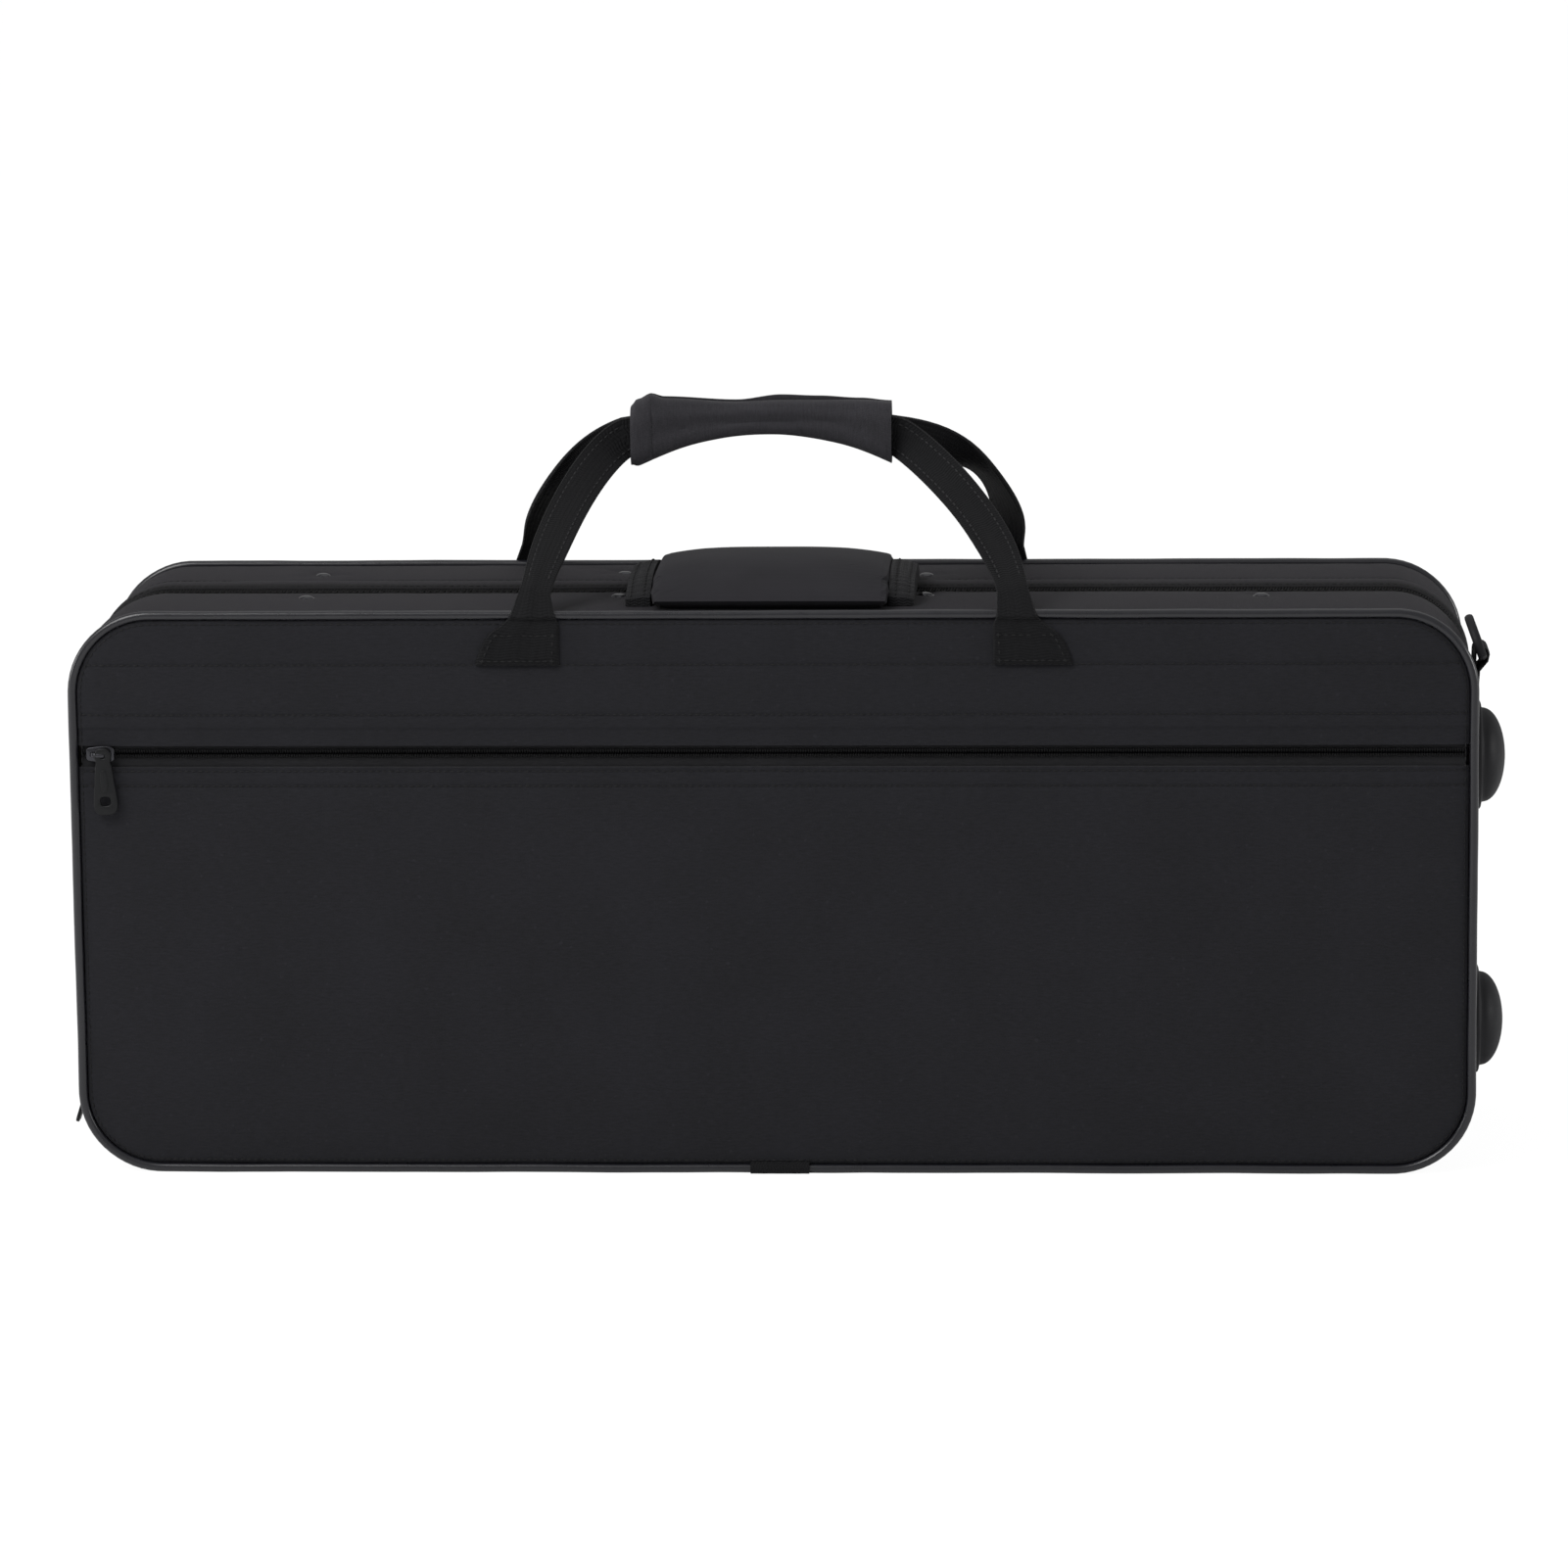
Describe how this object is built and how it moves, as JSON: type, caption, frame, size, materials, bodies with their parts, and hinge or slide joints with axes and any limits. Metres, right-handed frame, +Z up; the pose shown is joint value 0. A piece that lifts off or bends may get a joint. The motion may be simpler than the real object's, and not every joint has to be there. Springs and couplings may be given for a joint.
{
  "type": "alto saxophone bag",
  "caption": "Soft box-shaped bag for an alto saxophone with a hinged lid, front zip pocket, webbing handles with a wrap, pad and moulded insert",
  "frame": {"origin": "on the floor, under the middle of the bag's length, at mid-depth", "axes": "+X along the length to the bag's right as seen from the front, +Y from the front panel to the back panel, +Z up"},
  "size_m": [0.6666, 0.1691, 0.349],
  "materials": {
    "panel_cloth": "plain woven nylon, near black",
    "gusset_cloth": "plain woven nylon, dark grey",
    "wrap_cloth": "plain woven nylon over padding, dark grey",
    "webbing": "ribbed black webbing",
    "piping_vinyl": "smooth dark vinyl",
    "tape_cloth": "woven zipper tape",
    "coil_nylon": "nylon coil",
    "slider_metal": "dark gunmetal plating",
    "rivet_metal": "dark polished cap",
    "moulded_plastic": "satin black moulding",
    "shell_board": "stiff foam board",
    "plush": "short plush",
    "foam": "flocked moulded foam"
  },
  "bodies": {
    "base": {"base_edge_strip": "gusset_cloth", "base_gusset": "gusset_cloth", "base_shell": "shell_board", "base_lining": "plush", "back_panel": "panel_cloth", "back_piping": "piping_vinyl", "back_piping_tab": "webbing", "hinge_strip_base": "tape_cloth", "zipper_tape_base": "tape_cloth", "zipper_coil_base": "coil_nylon", "base_insert": "foam", "base_rivet_1": "rivet_metal", "base_rivet_2": "rivet_metal", "base_rivet_3": "rivet_metal", "top_pad": "wrap_cloth", "pad_tab_left": "webbing", "pad_tab_right": "webbing", "back_patch_left": "webbing", "back_patch_right": "webbing", "d_ring_tab_left": "webbing"},
    "lid": {"lid_gusset": "gusset_cloth", "lid_shell": "shell_board", "lid_lining": "plush", "pocket_back": "plush", "upper_panel": "panel_cloth", "pocket_panel": "panel_cloth", "pocket_tape_upper": "tape_cloth", "pocket_tape_lower": "tape_cloth", "pocket_coil_upper": "coil_nylon", "pocket_coil_lower": "coil_nylon", "front_piping": "piping_vinyl", "front_piping_tab": "webbing", "hinge_strip_lid": "tape_cloth", "zipper_tape_lid": "tape_cloth", "zipper_coil_lid": "coil_nylon", "lid_rivet_1": "rivet_metal", "lid_rivet_2": "rivet_metal", "lid_rivet_3": "rivet_metal", "lid_rivet_4": "rivet_metal", "end_foot_upper": "moulded_plastic", "end_foot_lower": "moulded_plastic", "d_ring_tab_right": "webbing", "front_patch_left": "webbing", "front_patch_right": "webbing"},
    "pocket_slider_body": {"pocket_slider": "slider_metal"},
    "pocket_pull_body": {"pocket_pull": "slider_metal"},
    "right_ring": {"d_ring_right": "moulded_plastic"},
    "left_ring": {"d_ring_left": "moulded_plastic"},
    "front_handle": {"front_handle_strap": "webbing"},
    "back_handle": {"back_handle_strap": "webbing", "grip_wrap": "wrap_cloth"},
    "wrap_flap": {"grip_flap": "wrap_cloth"},
    "accessory_door": {"accessory_lid": "plush"},
    "upper_slider_body": {"upper_slider": "slider_metal"},
    "upper_pull_body": {"upper_pull": "slider_metal"},
    "lower_slider_body": {"lower_slider": "slider_metal"},
    "lower_pull_body": {"lower_pull": "slider_metal"}
  },
  "joints": [
    {"name": "lid_hinge", "type": "hinge", "parent": "base", "child": "lid", "pos_m": [0, -0.004, -0.00015], "axis": [1, 0, 0], "range_deg": [0, 180]},
    {"name": "pocket_zip", "type": "slide", "parent": "lid", "child": "pocket_slider_body", "axis": [1, 0, 0], "range_m": [0, 0.6]},
    {"name": "pocket_pull_hinge", "type": "hinge", "parent": "pocket_slider_body", "child": "pocket_pull_body", "pos_m": [-0.304, -0.083, 0.1955], "axis": [-1, 0, 0], "range_deg": [0, 150]},
    {"name": "right_ring_hinge", "type": "hinge", "parent": "lid", "child": "right_ring", "pos_m": [0.3223, -0.042, 0.236], "axis": [0, 1, 0], "range_deg": [0, 165]},
    {"name": "left_ring_hinge", "type": "hinge", "parent": "base", "child": "left_ring", "pos_m": [-0.3223, 0.038, 0.207], "axis": [0, -1, 0], "range_deg": [0, 165]},
    {"name": "front_handle_swing", "type": "hinge", "parent": "lid", "child": "front_handle", "pos_m": [0, -0.083, 0.26255], "axis": [1, 0, 0], "range_deg": [0, 200]},
    {"name": "back_handle_swing", "type": "hinge", "parent": "base", "child": "back_handle", "pos_m": [0, 0.083, 0.26255], "axis": [-1, 0, 0], "range_deg": [0, 200]},
    {"name": "wrap_flap_hinge", "type": "hinge", "parent": "back_handle", "child": "wrap_flap", "pos_m": [0, 0, 0.349], "axis": [-1, 0, 0], "range_deg": [0, 170], "deforming": ["grip_flap"]},
    {"name": "accessory_hinge", "type": "hinge", "parent": "base", "child": "accessory_door", "pos_m": [-0.2997, -0.0015, 0.09], "axis": [0, 0, -1], "range_deg": [0, 90]},
    {"name": "upper_zip", "type": "slide", "parent": "base", "child": "upper_slider_body", "axis": [0, 0, 1], "range_m": [0, 0.12]},
    {"name": "upper_pull_hinge", "type": "hinge", "parent": "upper_slider_body", "child": "upper_pull_body", "pos_m": [-0.3249, -0.004, 0.0779], "axis": [0, 1, 0], "range_deg": [0, 130]},
    {"name": "lower_zip", "type": "hinge", "parent": "base", "child": "lower_slider_body", "pos_m": [-0.282, -0.004, 0.038], "axis": [0, -1, 0], "range_deg": [0, 25]},
    {"name": "lower_pull_hinge", "type": "hinge", "parent": "lower_slider_body", "child": "lower_pull_body", "pos_m": [-0.32455, -0.004, 0.03217], "axis": [0, 1, 0], "range_deg": [-15, 113]}
  ]
}
